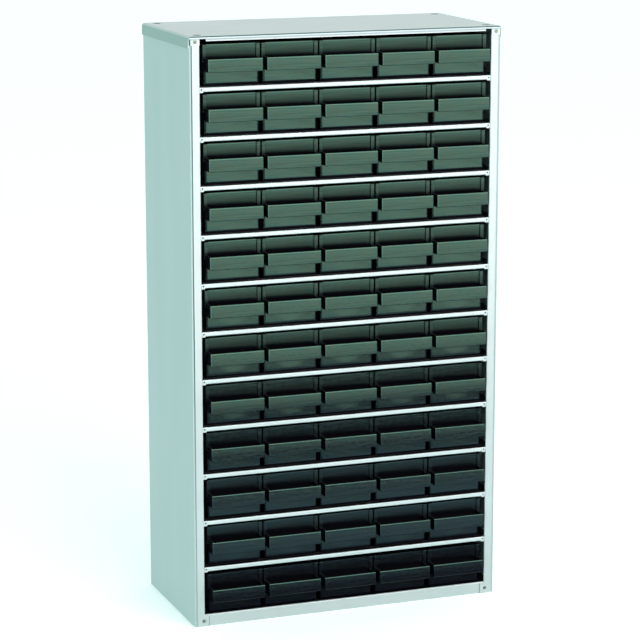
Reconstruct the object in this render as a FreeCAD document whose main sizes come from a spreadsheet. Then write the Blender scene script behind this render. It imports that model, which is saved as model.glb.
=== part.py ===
import FreeCAD, Part
import Sketcher
import os

# A steel small-parts cabinet that stands on a bench, with rows of moulded drawers.
# Millimetres. X runs along the width, the drawers face -Y, and +Z is up.
# The origin is the centre of the overall footprint, handles included, on the surface it stands on.

ROWS = 12
COLUMNS = 5
# Rows 1 to SINGLE_ROWS have one sub-part for each drawer, and each row below them is one sub-part.
SINGLE_ROWS = 10

DIMENSIONS = [
    ("overall_width", 306.0),
    ("overall_height", 551.0),
    ("case_depth", 144.0),
    ("handle_proud", 8.6),
    ("sheet", 0.7),
    ("gap", 0.1),
    ("opening_half", 142.6),
    ("bend_radius", 3.0),
    ("side_radius", 1.4),
    ("edge_radius", 1.2),
    ("seam_inset", 1.4),
    ("seam_width", 1.2),
    ("seam_depth", 0.45),
    ("hem_width", 8.0),
    ("hem_radius", 0.6),
    ("foot_tab_inset", 4.6),
    ("cover_lap", 11.0),
    ("cover_front", 4.6),
    ("cover_tab", 8.4),
    ("cover_relief", 1.9),
    ("crease_drop", 2.3),
    ("crease_width", 1.2),
    ("fold_drop", 0.35),
    ("fold_width", 0.9),
    ("corner_cut_width", 6.0),
    ("corner_cut_height", 2.0),
    ("dimple_radius", 3.8),
    ("dimple_depth", 0.6),
    ("dimple_x", 141.5),
    ("dimple_inset", 11.0),
    ("tray_height", 11.1),
    ("tray_hem", 10.0),
    ("top_rail", 505.3),
    ("row_pitch", 44.8),
    ("rail_height", 4.35),
    ("rail_drop", 0.4),
    ("shelf_setback", 7.0),
    ("joggle_length", 5.0),
    ("rail_thickness", 2.1),
    ("rail_recess", 0.4),
    ("rail_radius", 0.9),
    ("rail_tab_width", 3.4),
    ("rail_tab_drop", 0.8),
    ("tab_dimple_radius", 0.8),
    ("tab_dimple_inset", 1.8),
    ("tab_dimple_depth", 0.9),
    ("column_pitch", 55.8),
    ("slide_gap", 0.3),
    ("guide_width", 3.4),
    ("guide_height", 5.0),
    ("guide_length", 90.0),
    ("guide_setback", 30.0),
    ("rivet_head_radius", 1.7),
    ("rivet_head_height", 0.5),
    ("rivet_shank_radius", 1.0),
    ("rivet_clearance", 0.05),
    ("rivet_top_x", 147.0),
    ("rivet_top_drop", 5.0),
    ("rivet_foot_x", 143.4),
    ("rivet_foot_rise", 5.2),
    ("face_recess", 3.0),
    ("drawer_length", 127.0),
    ("drawer_height", 37.4),
    ("tub_width", 51.2),
    ("tub_wall", 1.4),
    ("front_wall", 1.6),
    ("ear_width", 54.6),
    ("ear_side", 3.6),
    ("label_recess", 4.0),
    ("ledge_height", 25.2),
    ("channel_depth", 2.2),
    ("front_lift", 1.6),
    ("front_width", 50.8),
    ("rim_height", 1.8),
    ("handle_reach", 12.3),
    ("handle_width", 51.4),
    ("handle_drop", 12.0),
]

# Positions that several sub-parts share, each worked out from the driving dimensions.
DERIVED = [
    ("half_width", "=overall_width / 2"),
    ("half_panel", "=half_width - sheet"),
    ("front_plane", "=-(case_depth + handle_proud) / 2 + handle_proud"),
    ("back_plane", "=front_plane + case_depth"),
    ("stile_plane", "=front_plane + sheet"),
    ("rear_plane", "=back_plane - sheet"),
    ("face_plane", "=stile_plane + face_recess"),
    ("panel_back", "=rear_plane - sheet - gap"),
    ("panel_front", "=panel_back - sheet"),
    ("cover_top", "=overall_height"),
    ("drawer_top_base", "=top_rail + slide_gap"),
    ("drawer_floor_base", "=tray_height + slide_gap"),
]

doc = FreeCAD.newDocument("parts_cabinet")


# ---------------------------------------------------------------- the sheet of dimensions

def make_sheet():
    """The driving dimensions and the positions that follow from them."""
    sheet = doc.addObject("Spreadsheet::Sheet", "Dims")
    for row, (alias, value) in enumerate(DIMENSIONS + DERIVED, start=1):
        sheet.set(f"A{row}", alias)
        sheet.set(f"B{row}", str(value))
        sheet.setAlias(f"B{row}", alias)
    doc.recompute()
    return sheet


def bound(text):
    """An expression in which each dimension's name reads its cell of the sheet."""
    names = sorted((alias for alias, value in DIMENSIONS + DERIVED), key=len, reverse=True)
    words = []
    word = ""
    for letter in text + " ":
        if letter.isalnum() or letter == "_":
            word += letter
            continue
        words.append(f"Dims.{word}" if word in names else word)
        words.append(letter)
        word = ""
    return "".join(words).strip()


# ---------------------------------------------------------------- building blocks

def new_body(name):
    """An empty body whose label names its sub-part."""
    body = doc.addObject("PartDesign::Body", name)
    body.Label = name
    return body


def put(thing, x, y, z):
    """Binds the place of a feature or a sub-part."""
    for axis, text in (("x", x), ("y", y), ("z", z)):
        thing.setExpression(f".Placement.Base.{axis}", bound(text))


def box(body, name, x, y, z, cut=False):
    """A block added to a body, or cut from it: x, y and z each hold its low and high limits."""
    kind = "PartDesign::SubtractiveBox" if cut else "PartDesign::AdditiveBox"
    block = body.newObject(kind, name)
    for size, (low, high) in (("Length", x), ("Width", y), ("Height", z)):
        block.setExpression(size, bound(f"({high}) - ({low})"))
    put(block, x[0], y[0], z[0])
    doc.recompute()
    return block


def hole(body, name, radius, length, x, y, z, along_y):
    """A round cut in a body from the point x, y, z, up along +Z or back along +Y."""
    cut = body.newObject("PartDesign::SubtractiveCylinder", name)
    cut.setExpression("Radius", bound(radius))
    cut.setExpression("Height", bound(length))
    if along_y:
        cut.Placement.Rotation = FreeCAD.Rotation(FreeCAD.Vector(1, 0, 0), -90)
    put(cut, x, y, z)
    doc.recompute()
    return cut


def origin_plane(body, role):
    """One of a body's own origin planes."""
    return next(item for item in body.Origin.OriginFeatures if item.Role == role)


def outline(body, name, corners, height):
    """A closed outline of straight lines, parallel to the XY plane at the given height."""
    sketch = body.newObject("Sketcher::SketchObject", name)
    sketch.AttachmentSupport = [(origin_plane(body, "XY_Plane"), "")]
    sketch.MapMode = "FlatFace"
    sketch.setExpression(".AttachmentOffset.Base.z", bound(height))
    count = len(corners)
    points = [FreeCAD.Vector(value_of(x), value_of(y), 0) for x, y in corners]
    for index in range(count):
        sketch.addGeometry(Part.LineSegment(points[index], points[(index + 1) % count]), False)
    for index in range(count):
        sketch.addConstraint(sketcher_join(index, (index + 1) % count))
    for index, (x, y) in enumerate(corners):
        for kind, text, value in (("DistanceX", x, points[index].x), ("DistanceY", y, points[index].y)):
            which = sketch.addConstraint(sketcher_place(kind, index, value))
            sketch.setExpression(f"Constraints[{which}]", bound(text))
    doc.recompute()
    return sketch


def value_of(text):
    """The number that an expression of dimensions comes to."""
    probe = doc.getObject("Probe") or doc.addObject("App::FeaturePython", "Probe")
    if not hasattr(probe, "Value"):
        probe.addProperty("App::PropertyFloat", "Value")
    probe.setExpression("Value", bound(text))
    probe.recompute()
    return probe.Value


def sketcher_join(first, second):
    """The end of one line is the start of the next."""
    return Sketcher.Constraint("Coincident", first, 2, second, 1)


def sketcher_place(kind, line, value):
    """The start of a line lies this far from the sketch's origin."""
    return Sketcher.Constraint(kind, -1, 1, line, 1, value)


def pad(body, sketch, name, length):
    """Thickens an outline upwards."""
    feature = body.newObject("PartDesign::Pad", name)
    feature.Profile = sketch
    feature.setExpression("Length", bound(length))
    sketch.Visibility = False
    doc.recompute()
    return feature


def round_edges(body, name, radius, wanted):
    """Rounds the edges of the body's tip that wanted picks by their two end points."""
    tip = body.Tip
    names = []
    for index, edge in enumerate(tip.Shape.Edges, start=1):
        ends = [vertex.Point for vertex in edge.Vertexes]
        if len(ends) == 2 and wanted(ends[0], ends[1]):
            names.append(f"Edge{index}")
    if not names:
        raise RuntimeError(f"{name}: no edge to round")
    fillet = body.newObject("PartDesign::Fillet", name)
    fillet.Base = (tip, names)
    fillet.setExpression("Radius", bound(radius))
    doc.recompute()
    return fillet


def shell(body, name, wanted):
    """Hollows the body's tip to sheet thickness, open at the faces that wanted picks by their middle."""
    tip = body.Tip
    names = []
    for index, face in enumerate(tip.Shape.Faces, start=1):
        if face.Surface.TypeId == "Part::GeomPlane" and wanted(face.CenterOfMass):
            names.append(f"Face{index}")
    hollow = body.newObject("PartDesign::Thickness", name)
    hollow.Base = (tip, names)
    hollow.Reversed = True
    hollow.setExpression("Value", bound("sheet"))
    doc.recompute()
    return hollow


def near(first, second):
    """Whether two sizes are the same."""
    return abs(first - second) < 1e-4


def copy_of(source, name, x="0", y="0", z="0"):
    """The same piece at another place, which follows its pattern."""
    piece = doc.addObject("Part::Compound", name)
    piece.Label = name
    piece.Links = [source]
    put(piece, x, y, z)
    return piece


def group_of(pieces, name):
    """Several equal pieces as one sub-part of separate solids."""
    group = doc.addObject("Part::Compound", name)
    group.Label = name
    group.Links = pieces
    return group


# ---------------------------------------------------------------- the casing

def left_side_panel():
    """A folded side: a flat side, a front stile with a hem, a rear return and a foot tab."""
    body = new_body("left_side_panel")
    section = outline(
        body,
        "side_outline",
        [
            ("-half_panel", "stile_plane"),
            ("-opening_half", "stile_plane"),
            ("-opening_half", "rear_plane"),
            ("-half_panel", "rear_plane"),
        ],
        "0",
    )
    pad(body, section, "side_block", "overall_height - bend_radius")
    side = -value_of("half_panel")
    round_edges(
        body,
        "side_bends",
        "side_radius",
        lambda a, b: near(a.x, side) and near(b.x, side) and not near(a.z, b.z),
    )
    top, edge = value_of("overall_height - bend_radius"), -value_of("opening_half")
    shell(
        body,
        "side_sheet",
        lambda middle: near(middle.x, edge) or near(middle.z, 0) or near(middle.z, top),
    )
    box(
        body,
        "stile_hem",
        ("-opening_half - hem_width", "-opening_half"),
        ("stile_plane + sheet", "stile_plane + 2 * sheet"),
        ("tray_height + gap", "overall_height - cover_front - 4 * sheet"),
    )
    front = value_of("stile_plane")
    round_edges(
        body,
        "stile_edge",
        "hem_radius",
        lambda a, b: near(a.x, edge) and near(b.x, edge) and near(a.y, front) and near(b.y, front),
    )
    box(
        body,
        "foot_tab",
        ("-opening_half - 2 * hem_radius", "-opening_half + foot_tab_inset"),
        ("stile_plane", "stile_plane + sheet"),
        ("0", "tray_height - edge_radius"),
    )
    box(
        body,
        "stile_seam",
        ("-half_panel + seam_inset", "-half_panel + seam_inset + seam_width"),
        ("stile_plane - sheet", "stile_plane + seam_depth"),
        ("0", "overall_height"),
        cut=True,
    )
    drill_corners(body, "-1", "stile_plane - 2 * sheet")
    return body


def right_side_panel(left):
    """The left side's mirror image."""
    panel = doc.addObject("Part::Mirroring", "right_side_panel")
    panel.Label = "right_side_panel"
    panel.Source = left
    panel.Normal = FreeCAD.Vector(1, 0, 0)
    put(panel, "0", "0", "0")
    return panel


def drill_corners(body, sign, start):
    """The top and bottom rivet holes at one front corner."""
    radius = "rivet_shank_radius + rivet_clearance"
    depth = "6 * sheet"
    hole(body, "top_rivet_hole", radius, depth,
         f"{sign} * rivet_top_x", start, "overall_height - rivet_top_drop", True)
    hole(body, "foot_rivet_hole", radius, depth,
         f"{sign} * rivet_foot_x", start, "rivet_foot_rise", True)


def top_cover():
    """A shallow folded lid whose flanges lap over the side panels, the stiles and the back."""
    body = new_body("top_cover")
    lid = outline(
        body,
        "cover_outline",
        [
            ("-half_width", "front_plane"),
            ("half_width", "front_plane"),
            ("half_width", "back_plane"),
            ("-half_width", "back_plane"),
        ],
        "overall_height - cover_lap",
    )
    pad(body, lid, "cover_block", "cover_lap")
    top, side = value_of("overall_height"), value_of("half_width")
    front = value_of("front_plane")
    round_edges(
        body,
        "cover_side_bends",
        "bend_radius",
        lambda a, b: near(a.z, top) and near(b.z, top) and near(abs(a.x), side) and near(a.x, b.x),
    )
    round_edges(
        body,
        "cover_front_bend",
        "edge_radius",
        lambda a, b: near(a.z, top) and near(b.z, top) and near(a.y, front) and near(b.y, front),
    )
    rim = value_of("overall_height - cover_lap")
    shell(body, "cover_sheet", lambda middle: near(middle.z, rim))
    through_front = ("front_plane - 1", "front_plane + 2 * sheet")
    box(
        body,
        "front_trim",
        ("-half_width - 1", "half_width + 1"),
        through_front,
        ("overall_height - cover_lap - 1", "overall_height - cover_tab"),
        cut=True,
    )
    box(
        body,
        "front_opening",
        ("-opening_half", "opening_half"),
        through_front,
        ("overall_height - cover_lap - 1", "overall_height - cover_front"),
        cut=True,
    )
    for name, half in (("crease", "opening_half"), ("fold", "(half_width - bend_radius)")):
        box(
            body,
            f"front_{name}",
            (f"-{half}", half),
            ("front_plane - 1", "front_plane + seam_depth"),
            (f"overall_height - {name}_drop - {name}_width", f"overall_height - {name}_drop"),
            cut=True,
        )
    for label, sign in (("left", "-1"), ("right", "1")):
        low = "-opening_half" if sign == "-1" else "opening_half - corner_cut_width"
        high = "-opening_half + corner_cut_width" if sign == "-1" else "opening_half"
        box(
            body,
            f"{label}_corner_cut",
            (low, high),
            through_front,
            ("overall_height - cover_lap", "overall_height - cover_front + corner_cut_height"),
            cut=True,
        )
        low = "-half_width - 1" if sign == "-1" else "half_width - cover_relief"
        high = "-half_width + cover_relief" if sign == "-1" else "half_width + 1"
        box(
            body,
            f"{label}_corner_relief",
            (low, high),
            through_front,
            ("overall_height - cover_lap - 1", "overall_height - bend_radius"),
            cut=True,
        )
        hole(body, f"{label}_rivet_hole", "rivet_shank_radius + rivet_clearance", "4 * sheet",
             f"{sign} * rivet_top_x", "front_plane - sheet", "overall_height - rivet_top_drop", True)
    for label, x, y in dimple_places():
        cup = body.newObject("PartDesign::AdditiveCylinder", f"{label}_cup")
        cup.setExpression("Radius", bound("dimple_radius + sheet"))
        cup.setExpression("Height", bound("dimple_depth + sheet"))
        put(cup, x, y, "overall_height - sheet - dimple_depth")
        doc.recompute()
        hole(body, f"{label}_dimple", "dimple_radius", "dimple_depth + 1", x, y,
             "overall_height - dimple_depth", False)
    return body


def dimple_places():
    """The four stacking dimples near the corners of the lid."""
    places = []
    for side, x in (("left", "-dimple_x"), ("right", "dimple_x")):
        places.append((f"{side}_front", x, "front_plane + dimple_inset"))
        places.append((f"{side}_rear", x, "back_plane - dimple_inset"))
    return places


def bottom_tray():
    """The floor of the lowest row, with flanges folded down to the bench and hemmed inwards."""
    body = new_body("bottom_tray")
    front, back = "stile_plane + sheet + gap / 2", "panel_front - gap"
    side = "half_panel - sheet - gap"
    plan = outline(
        body,
        "tray_outline",
        [(f"-({side})", front), (side, front), (side, back), (f"-({side})", back)],
        "0",
    )
    pad(body, plan, "tray_block", "tray_height")
    round_edges(
        body,
        "tray_corners",
        "bend_radius",
        lambda a, b: near(a.x, b.x) and near(a.y, b.y),
    )
    top, edge = value_of("tray_height"), value_of(front)
    round_edges(
        body,
        "tray_front_bend",
        "edge_radius",
        lambda a, b: near(a.z, top) and near(b.z, top) and near(a.y, edge) and near(b.y, edge),
    )
    box(
        body,
        "tray_inside",
        (f"-({side}) + sheet", f"{side} - sheet"),
        (f"{front} + sheet", f"{back} - sheet"),
        ("sheet", "tray_height - sheet"),
        cut=True,
    )
    box(
        body,
        "tray_underside",
        (f"-({side}) + tray_hem", f"{side} - tray_hem"),
        (f"{front} + tray_hem", f"{back} - tray_hem"),
        ("-1", "sheet * 2"),
        cut=True,
    )
    for label, sign in (("left", "-1"), ("right", "1")):
        hole(body, f"{label}_rivet_hole", "rivet_shank_radius + rivet_clearance", "3 * sheet",
             f"{sign} * rivet_foot_x", front + " - sheet", "rivet_foot_rise", True)
    return body


def back_panel():
    """A flat sheet held between the shelves and the sides' rear returns."""
    body = new_body("back_panel")
    side = "half_panel - bend_radius"
    plan = outline(
        body,
        "back_outline",
        [
            (f"-({side})", "panel_front"),
            (side, "panel_front"),
            (side, "panel_back"),
            (f"-({side})", "panel_back"),
        ],
        "gap",
    )
    pad(body, plan, "back_sheet", "overall_height - sheet - 3 * gap")
    return body


def shelf_pattern():
    """One shelf, its upper face at Z = 0: a sheet joggled down in front to a rail with two end tabs."""
    body = new_body("shelf_pattern")
    side = "half_panel - sheet - 6 * gap"
    front = "stile_plane + rail_recess"
    inner = "opening_half - gap"
    plan = outline(
        body,
        "shelf_outline",
        [
            (f"-({side})", f"{front} + shelf_setback"),
            (side, f"{front} + shelf_setback"),
            (side, "panel_front - gap"),
            (f"-({side})", "panel_front - gap"),
        ],
        "-sheet",
    )
    pad(body, plan, "shelf_sheet", "sheet")
    box(
        body,
        "joggle",
        (f"-({inner})", inner),
        (f"{front} + shelf_setback", f"{front} + shelf_setback + joggle_length"),
        ("-rail_drop - sheet", "-sheet / 2"),
    )
    box(
        body,
        "rail_flange",
        (f"-({inner})", inner),
        (f"{front} + rail_thickness / 2", f"{front} + shelf_setback + joggle_length"),
        ("-rail_drop - sheet", "-rail_drop"),
    )
    box(
        body,
        "rail",
        (f"-({inner})", inner),
        (front, f"{front} + rail_thickness"),
        ("-rail_height", "-rail_drop"),
    )
    edge = value_of(front)
    round_edges(
        body,
        "rail_edges",
        "rail_radius",
        lambda a, b: near(a.y, edge) and near(b.y, edge) and near(a.z, b.z),
    )
    for label, low, high in (
        ("left", f"-({inner})", f"-({inner}) + rail_tab_width"),
        ("right", f"{inner} - rail_tab_width", inner),
    ):
        box(
            body,
            f"{label}_tab",
            (low, high),
            (f"{front} + rail_radius / 2", f"{front} + rail_thickness"),
            ("-rail_height - rail_tab_drop", "-rail_drop"),
        )
    for label, sign in (("left", "-1"), ("right", "1")):
        hole(body, f"{label}_tab_dimple", "tab_dimple_radius", "2 * tab_dimple_depth",
             f"{sign} * ({inner} - tab_dimple_inset)", f"{front} - tab_dimple_depth",
             "-(rail_height + rail_drop) / 2", True)
    return body


def shelves(pattern):
    """One shelf under each row but the lowest, as separate solids of one sub-part."""
    pieces = []
    for row in range(1, ROWS):
        pieces.append(copy_of(pattern, f"shelf_{row:02d}", z=f"top_rail - {row - 1} * row_pitch"))
    return group_of(pieces, "shelves")


def row_floor(row):
    """The height of the surface that a row of drawers slides on."""
    return "tray_height" if row == ROWS else f"top_rail - {row - 1} * row_pitch"


def column_guides():
    """Low guide strips that keep each drawer square to its column."""
    strips = []
    for row in range(1, ROWS + 1):
        for line in range(COLUMNS + 1):
            strip = doc.addObject("Part::Box", f"guide_{row:02d}_{line}")
            strip.setExpression("Length", bound("guide_width"))
            strip.setExpression("Width", bound("guide_length"))
            strip.setExpression("Height", bound("guide_height"))
            put(
                strip,
                f"({line} - {COLUMNS} / 2) * column_pitch - guide_width / 2",
                "face_plane + guide_setback",
                row_floor(row),
            )
            strips.append(strip)
    return group_of(strips, "column_guides")


def rivet_pattern():
    """One blind rivet along +Y: a low head in front of Y = 0 and a shank behind it."""
    body = new_body("rivet_pattern")
    for name, radius, length, start in (
        ("head", "rivet_head_radius", "rivet_head_height", "-rivet_head_height"),
        ("shank", "rivet_shank_radius", "4 * sheet", "0"),
    ):
        round_bar = body.newObject("PartDesign::AdditiveCylinder", name)
        round_bar.setExpression("Radius", bound(radius))
        round_bar.setExpression("Height", bound(length))
        round_bar.Placement.Rotation = FreeCAD.Rotation(FreeCAD.Vector(1, 0, 0), -90)
        put(round_bar, "0", start, "0")
        doc.recompute()
    return body


def corner_rivets(pattern):
    """The four rivets that hold the cover and the tray to the stiles."""
    pieces = []
    for side, sign in (("left", "-1"), ("right", "1")):
        pieces.append(copy_of(pattern, f"{side}_top_rivet", f"{sign} * rivet_top_x",
                              "front_plane", "overall_height - rivet_top_drop"))
        pieces.append(copy_of(pattern, f"{side}_foot_rivet", f"{sign} * rivet_foot_x",
                              "stile_plane", "rivet_foot_rise"))
    return group_of(pieces, "corner_rivets")


# ---------------------------------------------------------------- the drawers

def drawer_pattern():
    """One drawer about X = 0, its face at Y = 0 and its underside at Z = 0."""
    body = new_body("drawer_pattern")
    half = "tub_width / 2"
    plan = outline(
        body,
        "tub_outline",
        [
            (f"-{half}", "front_wall"),
            (half, "front_wall"),
            (half, "drawer_length"),
            (f"-{half}", "drawer_length"),
        ],
        "0",
    )
    pad(body, plan, "tub_block", "drawer_height")
    drawer_face(body)
    box(
        body,
        "recess_front",
        ("-ear_width / 2 + ear_side", "ear_width / 2 - ear_side"),
        ("-1", "label_recess"),
        ("ledge_height - channel_depth", "drawer_height + 1"),
        cut=True,
    )
    box(
        body,
        "tub_inside",
        (f"-{half} + tub_wall", f"{half} - tub_wall"),
        ("label_recess + front_wall", "drawer_length - tub_wall"),
        ("tub_wall", "drawer_height + 1"),
        cut=True,
    )
    box(
        body,
        "tub_inside_front",
        (f"-{half} + tub_wall", f"{half} - tub_wall"),
        ("front_wall", "label_recess + 2 * front_wall"),
        ("tub_wall", "ledge_height - channel_depth - front_wall"),
        cut=True,
    )
    drawer_handle(body)
    return body


def drawer_face(body):
    """The lower front, the two ears beside the label recess and the side rims."""
    box(
        body,
        "lower_front",
        ("-front_width / 2", "front_width / 2"),
        ("0", "2 * front_wall"),
        ("front_lift", "ledge_height"),
    )
    box(
        body,
        "upper_front",
        ("-ear_width / 2", "ear_width / 2"),
        ("0", "label_recess + front_wall"),
        ("ledge_height - channel_depth - front_wall", "drawer_height"),
    )
    box(
        body,
        "rims",
        ("-ear_width / 2 + gap", "ear_width / 2 - gap"),
        ("label_recess", "drawer_length"),
        ("drawer_height - rim_height", "drawer_height"),
    )


def drawer_handle(body):
    """A pull that stands out in front: a top web, two arms and a band, open below."""
    half = "handle_width / 2"
    box(
        body,
        "handle_web",
        (f"-{half}", half),
        ("-handle_reach", "front_wall"),
        ("ledge_height - channel_depth - front_wall", "ledge_height - channel_depth"),
    )
    box(
        body,
        "handle_band",
        (f"-{half}", half),
        ("-handle_reach", "-handle_reach + front_wall"),
        ("ledge_height - handle_drop", "ledge_height"),
    )
    for label, low, high in (
        ("left", f"-{half}", f"-{half} + front_wall"),
        ("right", f"{half} - front_wall", half),
    ):
        box(
            body,
            f"{label}_arm",
            (low, high),
            ("-handle_reach", "front_wall"),
            ("ledge_height - handle_drop", "ledge_height"),
        )


def drawer_base(row):
    """The height of the underside of a row's drawers."""
    if row == ROWS:
        return "drawer_floor_base"
    return f"drawer_top_base - {row - 1} * row_pitch"


def drawers(pattern):
    """Every drawer: one sub-part each in the upper rows, and one sub-part for each lower row."""
    found = []
    for row in range(1, ROWS + 1):
        pieces = []
        for column in range(1, COLUMNS + 1):
            x = f"({column} - ({COLUMNS} + 1) / 2) * column_pitch"
            name = f"drawer_{row:02d}_{column}"
            pieces.append(copy_of(pattern, name, x, "face_plane", drawer_base(row)))
        if row <= SINGLE_ROWS:
            found.extend(pieces)
        else:
            found.append(group_of(pieces, f"drawer_row_{row:02d}"))
    return found


# ---------------------------------------------------------------- the cabinet

def build():
    """All the sub-parts, in the order in which they are put together."""
    make_sheet()
    left = left_side_panel()
    parts = [
        left,
        right_side_panel(left),
        top_cover(),
        bottom_tray(),
        back_panel(),
        shelves(shelf_pattern()),
        column_guides(),
        corner_rivets(rivet_pattern()),
    ]
    parts.extend(drawers(drawer_pattern()))
    return parts


def check(parts):
    """Stops if any object failed or any sub-part isn't sound."""
    for thing in doc.Objects:
        if {"Invalid", "Error"} & set(thing.State):
            raise RuntimeError(f"{thing.Name}: {thing.State}")
    for part in parts:
        if part.Shape.isNull() or not part.Shape.isValid() or not part.Shape.Solids:
            raise RuntimeError(f"{part.Label}: the shape isn't sound")


def write(parts):
    """One STEP file for each sub-part, named by its label."""
    os.makedirs("parts", exist_ok=True)
    for part in parts:
        part.Shape.exportStep(f"parts/{part.Label}.step")


sub_parts = build()
doc.recompute()
check(sub_parts)
write(sub_parts)
for part in sub_parts:
    print(part.Label, len(part.Shape.Solids), "solids", round(part.Shape.Volume / 1000, 2), "cm3")
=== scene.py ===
import math

import bmesh
import bpy
from mathutils import Matrix, Vector


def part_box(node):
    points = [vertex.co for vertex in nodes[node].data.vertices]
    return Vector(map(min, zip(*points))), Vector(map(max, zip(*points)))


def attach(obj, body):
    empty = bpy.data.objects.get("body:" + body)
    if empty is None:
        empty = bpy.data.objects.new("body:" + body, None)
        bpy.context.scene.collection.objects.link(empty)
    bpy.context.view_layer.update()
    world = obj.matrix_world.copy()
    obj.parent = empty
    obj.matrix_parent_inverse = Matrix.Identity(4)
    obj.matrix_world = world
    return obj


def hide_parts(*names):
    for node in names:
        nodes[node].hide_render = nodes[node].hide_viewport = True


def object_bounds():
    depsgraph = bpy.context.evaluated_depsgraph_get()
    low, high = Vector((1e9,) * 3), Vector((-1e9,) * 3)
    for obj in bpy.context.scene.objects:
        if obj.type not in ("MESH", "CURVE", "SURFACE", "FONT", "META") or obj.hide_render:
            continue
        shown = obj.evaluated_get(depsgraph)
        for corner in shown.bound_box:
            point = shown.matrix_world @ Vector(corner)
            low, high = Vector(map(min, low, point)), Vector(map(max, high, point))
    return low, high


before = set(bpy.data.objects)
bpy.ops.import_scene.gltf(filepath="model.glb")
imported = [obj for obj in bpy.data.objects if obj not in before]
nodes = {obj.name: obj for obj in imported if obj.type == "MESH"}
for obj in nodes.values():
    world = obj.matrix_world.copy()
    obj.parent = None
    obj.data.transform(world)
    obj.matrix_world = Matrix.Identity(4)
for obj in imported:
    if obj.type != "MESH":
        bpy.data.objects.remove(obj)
cad_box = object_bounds()

MM = 0.001
ROWS = 12
COLUMNS = 5

# Metres. As a limit of a place, it is well outside the cabinet.
BEYOND = 1.0

# The drawer, in millimetres, about the middle of its face's lower edge: X across, Y back, Z up.
TUB_HALF = 25.6
TUB_START = 1.2
TUB_LENGTH = 127.0
TUB_HEIGHT = 37.4
TUB_WALL = 1.4
TUB_CORNER = 3.0
TUB_FOOT = 2.0
REAR_HALF = 50.0
RIM_START = 5.0
RIM_HEIGHT = 1.8
RIM_INSET = 0.1
EAR_HALF = 27.3
EAR_LAP = 0.3
EAR_ROUND = 0.4

# Its front: the ledge is the top of the pull, and everything above it is the label recess.
LEDGE = 25.2
FRONT_BACK = 5.6
FRONT_HALF = 25.4
FRONT_LIFT = 1.6
FRONT_ROUND = 1.4
FRONT_REAR = 4.0
SCOOP_HALF = 15.0
SCOOP_MIDDLE = 12.6
SCOOP_RISE = 8.0
SCOOP_DEPTH = 0.2
BEAM_INSET = 0.35
PANEL_HALF = 23.7
PANEL_DEPTH = 4.8
PANEL_LEAN = 0.8
PANEL_ROUND = 0.8
PANEL_TOP = 0.8
CHANNEL = 2.2

# Its pull.
HANDLE_HALF = 25.7
HANDLE_REACH = 12.3
HANDLE_DROP = 12.0
HANDLE_WALL = 1.6
HANDLE_CORNER = 1.3
HANDLE_ROUND = 0.7
BAND_LEAN = 0.4
# The next is how wide the highlight painted along the pull's edges is.
EDGE = 0.8
SOFT_EDGE = 0.25

# The rivets: the foot rivets sit nearer the middle than the top ones by RIVET_STEP.
RIVET_HEAD = 1.7
RIVET_PROUD = 0.5
RIVET_SHANK = 0.95
RIVET_STEM = 0.55
RIVET_LENGTH = 2.0
RIVET_STEP = 3.6
COVER_SHEET = 0.7

# Where shade is painted on the casing, as distances from its edges in millimetres. GROOVE is how far back
# from the front the painted shade reaches, which takes in the grooves' floors.
SEAM = (1.4, 2.6)
FOLD = (0.2, 1.2)
CREASE = (2.2, 3.6)
GROOVE = 0.6
CORNER_RISE = 5.4
CORNER_GAP = 1.3
FOOT_RISE = 9.8
FLANGE_SKIN = 0.3
DIMPLE_X = 141.5
DIMPLE_INSET = 11.0
DIMPLE_HALF = 4.2
RAIL_SHEET = 0.9
TRAY_SHEET = 1.3

# How strongly each surface mirrors what stands before it. The painted shade in a seam grows to its full
# strength over SEAM_CLIMB metres, from the ground up.
STEEL_LEVEL = 0.5
PLASTIC_LEVEL = 0.46
STREAKS = (0.47, 0.63)
# The last is how much the highlight painted along the pull's edges raises their gloss.
EDGE_HIGHLIGHT_GAIN = 0.58
SEAM_CLIMB = 0.25

# The camera: a lens in millimetres, its turn, tilt and roll in degrees, and its place in metres.
LENS = 142.048
CAMERA_ANGLES = (20.61, 11.96, 0.0)
CAMERA_PLACE = (-0.8344, -2.2120, 0.7697)


def srgb(red, green, blue):
    """A screen colour, 0 to 255, as the linear colour that shaders take."""
    linear = []
    for value in (red, green, blue):
        part = value / 255.0
        linear.append(part / 12.92 if part <= 0.04045 else ((part + 0.055) / 1.055) ** 2.4)
    return (*linear, 1.0)


BLACK = (0.0, 0.0, 0.0, 1.0)
WHITE = (1.0, 1.0, 1.0, 1.0)
PAINT_LIGHT = srgb(168, 190, 188)
PAINT_DARK = srgb(164, 187, 185)
RAIL_LIGHT = srgb(176, 200, 198)
RAIL_DARK = srgb(172, 197, 195)
# The next three are painted shade on the cover: in its fold line and stacking dimples, in its crease, and
# on its side flanges.
FOLD_AND_DIMPLE_SHADE = srgb(50, 92, 96)
CREASE_SHADE = srgb(134, 160, 166)
FLANGE_SHADE = srgb(130, 162, 156)
# The next two are painted shade in the seams down the stiles, darker on the left than on the right as the
# light falls. The first is also painted inside the cover's corners and along the foot tabs' edges.
CREVICE_SHADE = srgb(60, 105, 104)
RIGHT_SEAM_SHADE = srgb(142, 172, 172)
# Painted shade on the shelves and the tray floor under the drawers.
SHADE_UNDER_DRAWERS = srgb(12, 14, 14)
# Painted shade down the drawers' label recesses.
RECESS_SHADE = srgb(6, 6, 10)
COOL_TINT = (0.40, 1.0, 0.73, 1.0)
WARM_TINT = (0.48, 1.0, 0.68, 1.0)


# ---------------------------------------------------------------- materials

def new_material(name):
    """An empty node material and its Principled shader."""
    material = bpy.data.materials.new(name)
    material.use_nodes = True
    return material, material.node_tree.nodes["Principled BSDF"]


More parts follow.
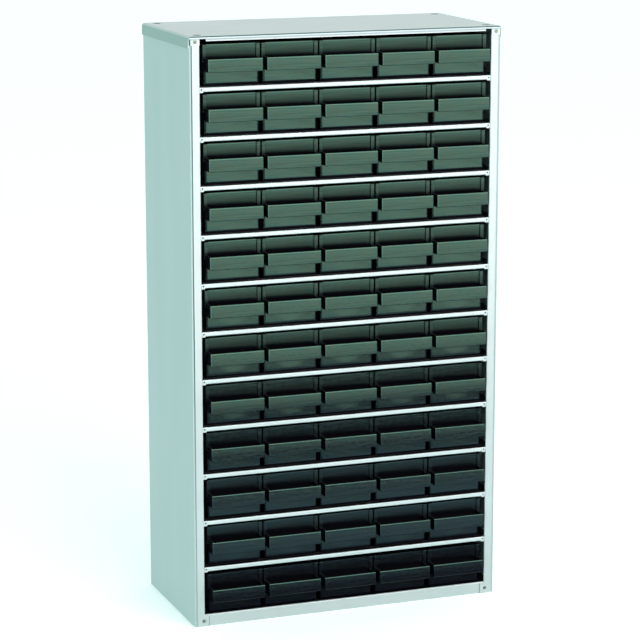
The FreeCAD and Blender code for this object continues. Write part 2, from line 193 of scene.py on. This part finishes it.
def noise(tree, scale, detail, stretch=(1, 1, 1)):
    """Procedural noise over the object's own coordinates, in metres."""
    place = tree.nodes.new("ShaderNodeTexCoord")
    mapping = tree.nodes.new("ShaderNodeMapping")
    mapping.inputs["Scale"].default_value = stretch
    texture = tree.nodes.new("ShaderNodeTexNoise")
    texture.inputs["Scale"].default_value = scale
    texture.inputs["Detail"].default_value = detail
    tree.links.new(place.outputs["Object"], mapping.inputs["Vector"])
    tree.links.new(mapping.outputs["Vector"], texture.inputs["Vector"])
    return texture.outputs["Fac"]


def ranged(tree, value, low, high, start=0.3, end=0.7):
    """A noise value spread over a range of its own."""
    span = tree.nodes.new("ShaderNodeMapRange")
    span.inputs["From Min"].default_value = start
    span.inputs["From Max"].default_value = end
    span.inputs["To Min"].default_value = low
    span.inputs["To Max"].default_value = high
    tree.links.new(value, span.inputs["Value"])
    return span.outputs["Result"]


def blended(tree, value, first, second):
    """Goes from the first colour to the second as value goes from 0 to 1. Either may be a socket."""
    mix = tree.nodes.new("ShaderNodeMix")
    mix.data_type = "RGBA"
    for name, colour in (("A", first), ("B", second)):
        if isinstance(colour, tuple):
            mix.inputs[name].default_value = colour
        else:
            tree.links.new(colour, mix.inputs[name])
    tree.links.new(value, mix.inputs["Factor"])
    return mix.outputs["Result"]


def bumped(tree, shader, height, strength, distance):
    """Adds a fine bump to a shader."""
    bump = tree.nodes.new("ShaderNodeBump")
    bump.inputs["Strength"].default_value = strength
    bump.inputs["Distance"].default_value = distance
    tree.links.new(height, bump.inputs["Height"])
    tree.links.new(bump.outputs["Normal"], shader.inputs["Normal"])


def computed(tree, how, first, second, third=0.0):
    """The result of one Math node. Any of its values may be a number or a socket."""
    node = tree.nodes.new("ShaderNodeMath")
    node.operation = how
    for socket, value in zip(node.inputs, (first, second, third)):
        if isinstance(value, (int, float)):
            socket.default_value = value
        else:
            tree.links.new(value, socket)
    return node.outputs["Value"]


def coordinate(tree, axis):
    """The object's own coordinate along X, Y or Z, in metres."""
    place = tree.nodes.new("ShaderNodeTexCoord")
    split = tree.nodes.new("ShaderNodeSeparateXYZ")
    tree.links.new(place.outputs["Object"], split.inputs["Vector"])
    return split.outputs[axis]


def between(tree, axis, low, high):
    """1 where the object's own coordinate along an axis is from low to high, in metres, and 0 elsewhere."""
    return computed(tree, "COMPARE", coordinate(tree, axis), (low + high) / 2, (high - low) / 2)


def painted_steel(name, light, dark, rough, marks=()):
    """Sheet steel under a fine powder coat: a tone and a gloss in faint upright bands, and a fine grain.

    Each mark is painted shade: a place, as limits along some axes, with the colour and the mirroring that
    it has instead, and the height over which it grows to its full strength from the ground up, or 0 where
    it is even.
    """
    material, shader = new_material(name)
    tree = material.node_tree
    cloud = noise(tree, 14.0, 1.0, (1.0, 1.6, 0.3))
    grain = noise(tree, 900.0, 2.0)
    tone = blended(tree, ranged(tree, cloud, 0.0, 1.0, 0.35, 0.65), light, dark)
    sheen = WHITE
    # Each mark paints shade over the tone, and lowers the gloss with the specular tint.
    for limits, colour, mark_level, climb in marks:
        inside = ranged(tree, coordinate(tree, "Z"), 0.25, 1.0, 0.0, climb) if climb else 1.0
        for axis, low, high in limits:
            inside = computed(tree, "MULTIPLY", inside, between(tree, axis, low, high))
        tone = blended(tree, inside, tone, colour)
        share = mark_level / STEEL_LEVEL
        sheen = blended(tree, inside, sheen, (share, share, share, 1.0))
    tree.links.new(tone, shader.inputs["Base Color"])
    gloss = ranged(tree, cloud, rough - 0.006, rough + 0.006, 0.25, 0.75)
    tree.links.new(gloss, shader.inputs["Roughness"])
    shader.inputs["Specular IOR Level"].default_value = STEEL_LEVEL
    if marks:
        tree.links.new(sheen, shader.inputs["Specular Tint"])
    bumped(tree, shader, grain, 0.04, 0.00002)
    return material


def open_part(tree):
    """How open each place on the drawer is.

    That is 1 almost everywhere. It falls down the ears, and down the label panel to 0 behind the pull.
    Where it falls, shade is painted: the colour darkens towards near-black and the gloss is taken away.
    """
    height = coordinate(tree, "Z")
    front, rear = (1.6 - HANDLE_REACH) * MM, (PANEL_DEPTH + 1.2) * MM
    low, high = (LEDGE - CHANNEL - 0.2) * MM, (TUB_HEIGHT + 0.5) * MM
    inside = computed(tree, "MULTIPLY", between(tree, "Y", front, rear), between(tree, "Z", low, high))
    panel = between(tree, "X", -PANEL_HALF * MM, PANEL_HALF * MM)
    climb = ranged(tree, height, 0.0, 1.0, (LEDGE - 1.0) * MM, TUB_HEIGHT * MM)
    ears = ranged(tree, height, 0.3, 1.0, LEDGE * MM, TUB_HEIGHT * MM)
    deeper = computed(tree, "SUBTRACT", climb, ears)
    shade = computed(tree, "ADD", ears, computed(tree, "MULTIPLY", panel, deeper))
    loss = computed(tree, "MULTIPLY", inside, computed(tree, "SUBTRACT", 1.0, shade))
    return computed(tree, "SUBTRACT", 1.0, loss)


def edge_highlight(tree):
    """Where a highlight is painted: 1 along the pull's outer edges and the label panel's top edge, and 0
    elsewhere.
    """
    bottom = LEDGE - HANDLE_DROP
    face = between(tree, "Y", -2 * HANDLE_REACH * MM, (0.9 - HANDLE_REACH) * MM)
    edges = [
        between(tree, "Z", (bottom - 1) * MM, (bottom + EDGE) * MM),
        between(tree, "Z", (LEDGE - EDGE - 0.4) * MM, (LEDGE - 0.4) * MM),
        between(tree, "X", (-HANDLE_HALF - 1) * MM, (EDGE - HANDLE_HALF) * MM),
    ]
    frame_of_band = computed(tree, "MAXIMUM", edges[0], computed(tree, "MAXIMUM", edges[1], edges[2]))
    top = between(tree, "Z", (TUB_HEIGHT - EDGE) * MM, (TUB_HEIGHT - 0.1) * MM)
    panel = computed(tree, "MULTIPLY", top, between(tree, "Y", 1 * MM, PANEL_DEPTH * MM))
    return computed(tree, "MAXIMUM", computed(tree, "MULTIPLY", face, frame_of_band), panel)


def smoked_plastic(name, light, dark, rough):
    """Moulded smoked plastic: nearly black inside itself, with a tinted gloss and slight flow marks.

    The gloss is raised along the pull's edges and the label panel's top edge as a painted highlight. Shade
    is painted down the ears and the label recess: the colour darkens and the gloss is taken away.
    """
    material, shader = new_material(name)
    tree = material.node_tree
    flow = noise(tree, 45.0, 3.0, (1.0, 1.0, 2.5))
    haze = noise(tree, 400.0, 2.0)
    streak = noise(tree, 60.0, 4.0, (0.4, 1.0, 12.0))
    openness = open_part(tree)
    tone = blended(tree, ranged(tree, flow, 0.0, 1.0, 0.35, 0.65), light, dark)
    # Painted shade: the colour darkens down the ears and the label recess, and the gloss goes with it
    # below.
    tree.links.new(blended(tree, openness, RECESS_SHADE, tone), shader.inputs["Base Color"])
    strength = computed(tree, "MULTIPLY", ranged(tree, streak, *STREAKS, 0.38, 0.62), openness)
    # A painted highlight: the gloss is raised along the pull's edges and the label panel's top edge.
    gain = computed(tree, "MULTIPLY_ADD", edge_highlight(tree), EDGE_HIGHLIGHT_GAIN, 1.0)
    strength = computed(tree, "MULTIPLY", strength, gain)
    shader.inputs["Specular IOR Level"].default_value = PLASTIC_LEVEL
    hue = blended(tree, ranged(tree, flow, 0.0, 1.0, 0.4, 0.6), COOL_TINT, WARM_TINT)
    tree.links.new(blended(tree, strength, BLACK, hue), shader.inputs["Specular Tint"])
    fine = ranged(tree, haze, -0.03, 0.05, 0.35, 0.65)
    gloss = computed(tree, "ADD", fine, ranged(tree, streak, rough - 0.03, rough + 0.03))
    tree.links.new(gloss, shader.inputs["Roughness"])
    bumped(tree, shader, flow, 0.08, 0.0004)
    return material


def plain(name, colour, rough, metallic=0.0):
    """A small part's or the floor's material with a little unevenness."""
    material, shader = new_material(name)
    tree = material.node_tree
    shader.inputs["Metallic"].default_value = metallic
    darker = (colour[0] * 0.93, colour[1] * 0.93, colour[2] * 0.93, 1.0)
    cloud = noise(tree, 60.0, 3.0)
    tree.links.new(blended(tree, cloud, colour, darker), shader.inputs["Base Color"])
    tree.links.new(ranged(tree, cloud, rough - 0.04, rough + 0.04), shader.inputs["Roughness"])
    return material


def side_marks(side, tone, level):
    """Painted shade in the seam groove down one stile, inside the cover's corner, and along the foot tab's
    edge.
    """
    low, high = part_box(f"{side}_side_panel")
    sign, outer, inner = (1, low.x, high.x) if side == "left" else (-1, high.x, low.x)

    def across(start, first, last):
        return ("X", *sorted((start + sign * first * MM, start + sign * last * MM)))

    front = ("Y", low.y - BEYOND, low.y + GROOVE * MM)
    rounded_front = ("Y", low.y - BEYOND, low.y + 2 * MM)
    corner = ("Z", high.z - CORNER_RISE * MM, high.z + BEYOND)
    foot = ("Z", low.z - BEYOND, low.z + FOOT_RISE * MM)
    return [
        ([across(outer, *SEAM), front], tone, level, SEAM_CLIMB),
        ([across(outer, -1, CORNER_GAP), rounded_front, corner], CREVICE_SHADE, 0.1, 0),
        ([across(inner, -0.1, -0.5), front, foot], CREVICE_SHADE, 0.2, 0),
    ]


def cover_marks():
    """Painted shade on the cover: in its fold line and crease, on its side flanges, and in its stacking
    dimples.
    """
    low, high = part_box("top_cover")
    front = ("Y", low.y - BEYOND, low.y + GROOVE * MM)
    marks = [
        ([("Z", high.z - FOLD[1] * MM, high.z - FOLD[0] * MM), front], FOLD_AND_DIMPLE_SHADE, 0.1, 0),
        ([("Z", high.z - CREASE[1] * MM, high.z - CREASE[0] * MM), front], CREASE_SHADE, 0.3, 0),
        ([("X", low.x - BEYOND, low.x + FLANGE_SKIN * MM)], FLANGE_SHADE, STEEL_LEVEL, 0),
        ([("X", high.x - FLANGE_SKIN * MM, high.x + BEYOND)], FLANGE_SHADE, STEEL_LEVEL, 0),
    ]
    # Painted shade in the stacking dimples.
    floor_height = ("Z", high.z - 0.8 * MM, high.z - 0.1 * MM)
    for x in (-DIMPLE_X * MM, DIMPLE_X * MM):
        across = ("X", x - DIMPLE_HALF * MM, x + DIMPLE_HALF * MM)
        for y in (low.y + DIMPLE_INSET * MM, high.y - DIMPLE_INSET * MM):
            along = ("Y", y - DIMPLE_HALF * MM, y + DIMPLE_HALF * MM)
            marks.append(([across, along, floor_height], FOLD_AND_DIMPLE_SHADE, 0.2, 0))
    return marks


def shelf_marks():
    """Behind its front rail, each shelf is painted near-black, as shade under the drawers."""
    low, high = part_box("shelves")
    return [([("Y", low.y + RAIL_SHEET * MM, high.y + BEYOND)], SHADE_UNDER_DRAWERS, 0.1, 0)]


def tray_marks():
    """Behind its front edge, the tray's floor is painted near-black too, as shade under the drawers."""
    low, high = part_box("bottom_tray")
    behind = ("Y", low.y + TRAY_SHEET * MM, high.y + BEYOND)
    upper = ("Z", high.z - 0.4 * MM, high.z + BEYOND)
    return [([behind, upper], SHADE_UNDER_DRAWERS, 0.1, 0)]


# The seam's painted shade is darker on the left stile than on the right, as the light falls.
LEFT_MARKS = side_marks("left", CREVICE_SHADE, 0.1)
RIGHT_MARKS = side_marks("right", RIGHT_SEAM_SHADE, 0.25)
LEFT_STEEL = painted_steel("left_steel", PAINT_LIGHT, PAINT_DARK, 0.28, LEFT_MARKS)
RIGHT_STEEL = painted_steel("right_steel", PAINT_LIGHT, PAINT_DARK, 0.28, RIGHT_MARKS)
COVER_STEEL = painted_steel("cover_steel", PAINT_LIGHT, PAINT_DARK, 0.3, cover_marks())
TRAY_STEEL = painted_steel("tray_steel", PAINT_LIGHT, PAINT_DARK, 0.3, tray_marks())
CASING = painted_steel("casing_steel", PAINT_LIGHT, PAINT_DARK, 0.3)
RAIL = painted_steel("rail_steel", RAIL_LIGHT, RAIL_DARK, 0.28, shelf_marks())
# The column guides are near-black, which stands in for the shade between the drawer fronts.
GUIDE = plain("guide_plastic", srgb(22, 24, 24), 0.6)
RIVET = plain("rivet_steel", srgb(82, 98, 80), 0.45, 0.6)
DRAWER = smoked_plastic("drawer_plastic", srgb(12, 12, 22), srgb(10, 10, 19), 0.2)
FLOOR = plain("floor_paper", (0.85, 0.91, 0.9, 1.0), 0.85)


# ---------------------------------------------------------------- mesh tools

def block(name, low, high):
    """A closed box between two corners, in millimetres, as a mesh object."""
    mesh = bpy.data.meshes.new(name)
    piece = bpy.data.objects.new(name, mesh)
    bpy.context.scene.collection.objects.link(piece)
    shape = bmesh.new()
    size = Vector(high) - Vector(low)
    middle = (Vector(high) + Vector(low)) / 2
    bmesh.ops.create_cube(shape, size=1.0)
    matrix = Matrix.Translation(middle * MM) @ Matrix.Diagonal((*(size * MM), 1.0))
    bmesh.ops.transform(shape, matrix=matrix, verts=shape.verts)
    shape.to_mesh(mesh)
    shape.free()
    return piece


def rounded(piece, radius, segments, wanted):
    """Rounds the edges that wanted picks by their two end points, in millimetres."""
    shape = bmesh.new()
    shape.from_mesh(piece.data)
    edges = []
    for edge in shape.edges:
        first, second = (vert.co / MM for vert in edge.verts)
        if wanted(first, second):
            edges.append(edge)
    bmesh.ops.bevel(
        shape, geom=edges, offset=radius * MM, offset_type="OFFSET", segments=segments,
        profile=0.5, affect="EDGES", clamp_overlap=True,
    )
    shape.to_mesh(piece.data)
    shape.free()
    return piece


def spread(low, high, radius, steps, pitch):
    """Positions from low to high: close together over the rounds at both ends, even between."""
    ends = [radius * (1 - math.cos(math.pi / 2 * step / steps)) for step in range(steps + 1)]
    count = max(1, round((high - low - 2 * radius) / pitch))
    inner = (high - low - 2 * radius) / count
    middle = [low + radius + inner * step for step in range(1, count)]
    return [low + end for end in ends] + middle + [high - end for end in reversed(ends)]


def quarter(distance, radius):
    """How far a rounded edge drops, at this distance inside it."""
    inside = radius - min(distance, radius)
    return radius - math.sqrt(max(0.0, radius**2 - inside**2))


def plate(name, across, up, depth, back):
    """A closed plate, in millimetres, whose front follows depth(x, z) and whose back is flat."""
    mesh = bpy.data.meshes.new(name)
    piece = bpy.data.objects.new(name, mesh)
    bpy.context.scene.collection.objects.link(piece)
    shape = bmesh.new()
    grid = [[shape.verts.new(Vector((x, depth(x, z), z)) * MM) for x in across] for z in up]
    for row in range(len(up) - 1):
        for step in range(len(across) - 1):
            below, above = grid[row], grid[row + 1]
            shape.faces.new((below[step], below[step + 1], above[step + 1], above[step]))
    right = [line[-1] for line in grid[:-1]]
    left = [line[0] for line in grid[:0:-1]]
    rim = grid[0][:-1] + right + grid[-1][:0:-1] + left
    rear = [shape.verts.new((vert.co.x, back * MM, vert.co.z)) for vert in rim]
    for step in range(len(rim)):
        after = (step + 1) % len(rim)
        shape.faces.new((rim[after], rim[step], rear[step], rear[after]))
    shape.faces.new(rear)
    bmesh.ops.recalc_face_normals(shape, faces=shape.faces)
    shape.to_mesh(mesh)
    shape.free()
    return piece


def same(first, second, axis):
    """Whether two points are level along an axis."""
    return abs(first[axis] - second[axis]) < 0.01


def upright(first, second):
    """An edge along Z."""
    return same(first, second, 0) and same(first, second, 1)


def join(piece, other, how):
    """Unites a piece with another, or cuts the other from it, and drops the other."""
    step = piece.modifiers.new(how, "BOOLEAN")
    step.operation = how
    step.solver = "EXACT"
    step.object = other
    apply(piece)
    bpy.data.objects.remove(other)
    return piece


def apply(piece):
    """Makes a piece's modifiers part of its mesh."""
    graph = bpy.context.evaluated_depsgraph_get()
    made = bpy.data.meshes.new_from_object(piece.evaluated_get(graph))
    piece.modifiers.clear()
    old = piece.data
    piece.data = made
    bpy.data.meshes.remove(old)
    return piece


def softened(piece, width, segments=2, angle=35.0):
    """Rounds every sharp edge a little, and shades the piece smooth."""
    bevel = piece.modifiers.new("softened", "BEVEL")
    bevel.width = width * MM
    bevel.segments = segments
    bevel.limit_method = "ANGLE"
    bevel.angle_limit = math.radians(angle)
    even = piece.modifiers.new("even", "WEIGHTED_NORMAL")
    even.keep_sharp = True
    even.weight = 80
    return piece


def dress(piece, material):
    """Gives a piece one material and smooth shading."""
    piece.data.materials.clear()
    piece.data.materials.append(material)
    for face in piece.data.polygons:
        face.use_smooth = True
    return piece


# ---------------------------------------------------------------- the drawer

def tub():
    """The solid block behind the front, with rounded corners and foot, and a wider rim round its top."""
    outer = block("tub", (-TUB_HALF, TUB_START, 0), (TUB_HALF, TUB_LENGTH, TUB_HEIGHT))
    rounded(outer, TUB_CORNER, 4, lambda a, b: upright(a, b) and a.y > REAR_HALF)
    rounded(outer, TUB_FOOT, 3, lambda a, b: a.z < 0.01 and b.z < 0.01)
    half = EAR_HALF - RIM_INSET
    rim = block("rim", (-half, RIM_START, TUB_HEIGHT - RIM_HEIGHT), (half, TUB_LENGTH, TUB_HEIGHT))
    rounded(rim, TUB_CORNER, 4, lambda a, b: upright(a, b) and a.y > REAR_HALF)
    join(outer, rim, "UNION")
    return outer


def tub_hollow():
    """The space inside the tub."""
    half, floor_top = TUB_HALF - TUB_WALL, TUB_WALL + 0.1
    hollow = block("hollow", (-half, FRONT_BACK, TUB_WALL), (half, TUB_LENGTH - TUB_WALL, TUB_HEIGHT + 2))
    rounded(hollow, TUB_FOOT, 3, lambda a, b: upright(a, b) or (a.z < floor_top and b.z < floor_top))
    return hollow


def lower_front():
    """The lower front: rounded edges, and the shallow lens that fingers reach into under the pull."""
    def depth(x, z):
        side = max(0.0, FRONT_ROUND - (FRONT_HALF - abs(x)))
        foot = max(0.0, FRONT_ROUND - (z - FRONT_LIFT))
        edge = quarter(FRONT_ROUND - math.hypot(side, foot), FRONT_ROUND)
        reach = (x / SCOOP_HALF) ** 2 + ((z - SCOOP_MIDDLE) / SCOOP_RISE) ** 2
        return edge + SCOOP_DEPTH * max(0.0, 1 - reach) ** 1.5

    across = spread(-FRONT_HALF, FRONT_HALF, FRONT_ROUND, 4, 1.6)
    top = LEDGE - CHANNEL - 0.5
    up = [z for z in spread(FRONT_LIFT, LEDGE, FRONT_ROUND, 4, 1.2) if z < top - 0.3]
    return plate("lower_front", across, up + [top], depth, FRONT_REAR)


def label_panel():
    """The panel that a label sits against: its top leans forward, and its ends turn into the ears."""
    def depth(x, z):
        lean = PANEL_DEPTH - PANEL_LEAN * (z - LEDGE) / (TUB_HEIGHT - LEDGE)
        end = quarter(PANEL_HALF - abs(x), PANEL_ROUND)
        return lean - end + quarter(TUB_HEIGHT - z, PANEL_TOP)

    across = spread(-PANEL_HALF, PANEL_HALF, PANEL_ROUND, 4, 4.0)
    low, steps = LEDGE - CHANNEL - 0.8, 4
    up = [low + (TUB_HEIGHT - PANEL_TOP - low) * step / steps for step in range(steps)]
    up += [TUB_HEIGHT - PANEL_TOP * math.cos(math.pi / 2 * step / steps) for step in range(steps + 1)]
    return plate("label_panel", across, up, depth, FRONT_BACK)


def ear(side):
    """The narrow strip that stands forward beside the label panel."""
    inner, outer = PANEL_HALF - EAR_LAP, EAR_HALF
    low, high = (inner, outer) if side > 0 else (-outer, -inner)
    strip = block("ear", (low, 0, LEDGE - CHANNEL - HANDLE_WALL), (high, FRONT_BACK, TUB_HEIGHT))
    rounded(strip, EAR_ROUND, 3, lambda a, b: a.y < 0.1 and b.y < 0.1)
    return strip


def front_plate():
    """The whole front behind the pull."""
    front = lower_front()
    top = LEDGE - CHANNEL
    beam = block("beam", (-EAR_HALF, BEAM_INSET, top - HANDLE_WALL), (EAR_HALF, FRONT_BACK, top))
    join(front, beam, "UNION")
    join(front, label_panel(), "UNION")
    for side in (-1, 1):
        join(front, ear(side), "UNION")
    return front


def pull():
    """The handle: a web at the top, two arms and a band in front, open from below."""
    bottom = LEDGE - HANDLE_DROP
    outer = block("pull", (-HANDLE_HALF, -HANDLE_REACH, bottom), (HANDLE_HALF, 1.0, LEDGE))
    for vert in outer.data.vertices:
        if vert.co.y < 0 and vert.co.z > (LEDGE - 1) * MM:
            vert.co.y += BAND_LEAN * MM
    rounded(outer, HANDLE_CORNER, 4, lambda a, b: upright(a, b) and a.y < -5)
    rounded(outer, HANDLE_ROUND, 3, lambda a, b: same(a, b, 2) and min(a.y, b.y) < -5)
    half, back_of_band = HANDLE_HALF - HANDLE_WALL, HANDLE_WALL - HANDLE_REACH
    web_bottom = LEDGE - CHANNEL - HANDLE_WALL
    inner = block("pull_space", (-half, back_of_band, bottom - 2), (half, -0.1, web_bottom))
    join(outer, inner, "DIFFERENCE")
    channel = block("channel", (-PANEL_HALF, back_of_band, LEDGE - CHANNEL), (PANEL_HALF, 2.0, LEDGE + 2))
    join(outer, channel, "DIFFERENCE")
    return outer


def drawer_mesh():
    """The whole drawer as one mesh, shared by every drawer."""
    drawer = join(tub(), tub_hollow(), "DIFFERENCE")
    join(drawer, front_plate(), "UNION")
    join(drawer, pull(), "UNION")
    dress(drawer, DRAWER)
    softened(drawer, SOFT_EDGE)
    apply(drawer)
    mesh = drawer.data
    mesh.name = "drawer"
    bpy.data.objects.remove(drawer)
    return mesh


def drawers():
    """A drawer in each place, riding on its own body or on its row's."""
    mesh = drawer_mesh()
    for row in range(1, ROWS + 1):
        for column in range(1, COLUMNS + 1):
            single = f"drawer_{row:02d}_{column}"
            body = single if single in nodes else f"drawer_row_{row:02d}"
            low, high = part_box(body)
            piece = bpy.data.objects.new(f"smoked_{single}", mesh)
            bpy.context.scene.collection.objects.link(piece)
            piece.location = (drawer_middle(body, column), low.y + HANDLE_REACH * MM, low.z)
            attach(piece, body)
            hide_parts(body)


def drawer_middle(body, column):
    """The middle of one drawer across the cabinet."""
    low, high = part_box(body)
    if not body.startswith("drawer_row"):
        return (low.x + high.x) / 2
    half = EAR_HALF * MM
    pitch = (high.x - low.x - 2 * half) / (COLUMNS - 1)
    return low.x + half + (column - 1) * pitch


# ---------------------------------------------------------------- the casing

def casing():
    """The CAD casing with its materials."""
    for name, material in (
        ("left_side_panel", LEFT_STEEL),
        ("right_side_panel", RIGHT_STEEL),
        ("top_cover", COVER_STEEL),
        ("bottom_tray", TRAY_STEEL),
        ("back_panel", CASING),
        ("shelves", RAIL),
        ("column_guides", GUIDE),
    ):
        piece = nodes[name]
        piece.data.materials.clear()
        piece.data.materials.append(material)


def turned(name, profile, steps):
    """A closed solid of revolution about Y, from points of (radius, y) in millimetres, ends on the axis."""
    mesh = bpy.data.meshes.new(name)
    shape = bmesh.new()
    tips = [shape.verts.new((0, profile[0][1] * MM, 0)), shape.verts.new((0, profile[-1][1] * MM, 0))]
    rings = []
    for radius, along in profile[1:-1]:
        ring = []
        for step in range(steps):
            angle = 2 * math.pi * step / steps
            point = Vector((radius * math.cos(angle), along, radius * math.sin(angle)))
            ring.append(shape.verts.new(point * MM))
        rings.append(ring)
    for step in range(steps):
        after = (step + 1) % steps
        shape.faces.new((tips[0], rings[0][step], rings[0][after]))
        for first, second in zip(rings, rings[1:]):
            shape.faces.new((first[step], second[step], second[after], first[after]))
        shape.faces.new((tips[1], rings[-1][after], rings[-1][step]))
    bmesh.ops.recalc_face_normals(shape, faces=shape.faces)
    shape.to_mesh(mesh)
    shape.free()
    piece = bpy.data.objects.new(name, mesh)
    bpy.context.scene.collection.objects.link(piece)
    return piece


def rivets():
    """The four blind rivets: a low dome with the drawn stem's hollow in its middle."""
    low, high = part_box("corner_rivets")
    radius = RIVET_HEAD
    dome = [(0.0, -0.1), (0.4, -0.12), (RIVET_STEM, -RIVET_PROUD)]
    for step in range(1, 6):
        angle = math.pi / 2 * step / 5
        out = RIVET_STEM + (radius - RIVET_STEM) * math.sin(angle)
        dome.append((out, -RIVET_PROUD * math.cos(angle)))
    dome += [(RIVET_SHANK, 0.0), (RIVET_SHANK, RIVET_LENGTH), (0.0, RIVET_LENGTH)]
    for side, sign in (("left", -1), ("right", 1)):
        edge = high.x / MM - radius
        face = low.y / MM + RIVET_PROUD
        for place, x, y, z in (
            ("top", sign * edge, face, high.z / MM - radius),
            ("foot", sign * (edge - RIVET_STEP), face + COVER_SHEET, low.z / MM + radius),
        ):
            piece = turned(f"{side}_{place}_rivet", dome, 28)
            piece.location = Vector((x, y, z)) * MM
            dress(piece, RIVET)
            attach(piece, "casing")
            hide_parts("corner_rivets")


# ---------------------------------------------------------------- the studio

def floor():
    """A wide pale light table: it glows a little, and the cabinet's gloss doesn't show it."""
    mesh = bpy.data.meshes.new("floor")
    size = 14.0
    corners = [(-size, -size, 0), (size, -size, 0), (size, size, 0), (-size, size, 0)]
    mesh.from_pydata(corners, [], [(0, 1, 2, 3)])
    piece = bpy.data.objects.new("floor", mesh)
    shader = FLOOR.node_tree.nodes["Principled BSDF"]
    shader.inputs["Emission Color"].default_value = (0.9, 1.0, 1.0, 1.0)
    shader.inputs["Emission Strength"].default_value = 0.3
    piece.data.materials.append(FLOOR)
    bpy.context.scene.collection.objects.link(piece)
    piece.location.z = cad_box[0].z - 0.0002
    piece.visible_glossy = False


def softbox(name, place, target, width, height, radiance, colour=(1, 1, 1), card=False):
    """A rectangular studio light that the camera doesn't see. A card shows only in reflections."""
    data = bpy.data.lights.new(name, "AREA")
    data.shape = "RECTANGLE"
    data.size, data.size_y = width, height
    data.energy = radiance * math.pi * width * height
    data.color = colour
    light = bpy.data.objects.new(name, data)
    bpy.context.scene.collection.objects.link(light)
    light.location = place
    light.rotation_euler = (Vector(target) - Vector(place)).to_track_quat("-Z", "Y").to_euler()
    light.visible_camera = False
    if card:
        light.visible_diffuse = False
        light.visible_transmission = False
        light.visible_volume_scatter = False
    return light


def smooth_step(tree, value, start, end):
    """Goes softly from 0 to 1 as value goes from start to end."""
    span = tree.nodes.new("ShaderNodeMapRange")
    span.interpolation_type = "SMOOTHSTEP"
    span.inputs["From Min"].default_value = start
    span.inputs["From Max"].default_value = end
    tree.links.new(value, span.inputs["Value"])
    return span.outputs["Result"]


def surround():
    """Pale walls all round, teal to the left, and darkness low down in front of the cabinet."""
    world = bpy.data.worlds.new("studio")
    bpy.context.scene.world = world
    world.use_nodes = True
    tree = world.node_tree
    sky = tree.nodes["Background"]
    place = tree.nodes.new("ShaderNodeTexCoord")
    split = tree.nodes.new("ShaderNodeSeparateXYZ")
    tree.links.new(place.outputs["Generated"], split.inputs["Vector"])
    ahead = smooth_step(tree, split.outputs["Y"], 0.1, -0.5)
    dark = computed(tree, "MULTIPLY", ahead, smooth_step(tree, split.outputs["Z"], 0.02, -0.12))
    left = smooth_step(tree, split.outputs["X"], -0.1, -0.6)
    walls = blended(tree, left, (1.0, 0.98, 0.98, 1.0), (0.53, 0.93, 0.89, 1.0))
    tone = blended(tree, dark, walls, (0.02, 0.03, 0.07, 1.0))
    tree.links.new(tone, sky.inputs["Color"])
    sky.inputs["Strength"].default_value = 0.95


def studio():
    """Soft light from in front and above. The cards show only in reflections."""
    surround()
    middle = (0.0, 0.0, 0.3)
    above_table = (0.15, -0.42, 1.0)
    softbox("front_card", (0.45, -1.2, 0.56), (0.45, 0.0, 0.56), 1.4, 1.14, 8.0, (1.0, 0.88, 0.9), True)
    softbox("table_card", (0.15, -0.42, 0.001), above_table, 0.9, 0.38, 2.6, (0.70, 0.67, 1.0), True)
    softbox("left_card", (-1.3, -0.7, 0.4), middle, 0.7, 1.3, 6.0, card=True)
    softbox("brow_card", (0.3, -1.1, 1.25), middle, 1.4, 0.5, 14.0, card=True)
    softbox("top_card", (0.2, -0.8, 1.7), middle, 1.4, 0.8, 12.0, card=True)
    key = softbox("key_panel", (0.5, -2.4, 1.3), middle, 1.8, 1.4, 5.1, (1.0, 0.76, 0.77))
    key.visible_glossy = False


def camera():
    """The camera, from the left of the front and a little above."""
    data = bpy.data.cameras.new("camera")
    view = bpy.data.objects.new("camera", data)
    bpy.context.scene.collection.objects.link(view)
    data.sensor_width = 36.0
    data.lens = LENS
    turn, tilt, roll = (math.radians(angle) for angle in CAMERA_ANGLES)
    level = math.cos(tilt)
    forward = Vector((math.sin(turn) * level, math.cos(turn) * level, -math.sin(tilt)))
    view.location = CAMERA_PLACE
    view.rotation_mode = "QUATERNION"
    rolled = Matrix.Rotation(roll, 3, "Z").to_quaternion()
    view.rotation_quaternion = forward.to_track_quat("-Z", "Y") @ rolled
    data.clip_end = 60.0
    bpy.context.scene.camera = view


casing()
rivets()
drawers()
floor()
studio()
camera()

bpy.context.scene.view_settings.view_transform = "Standard"
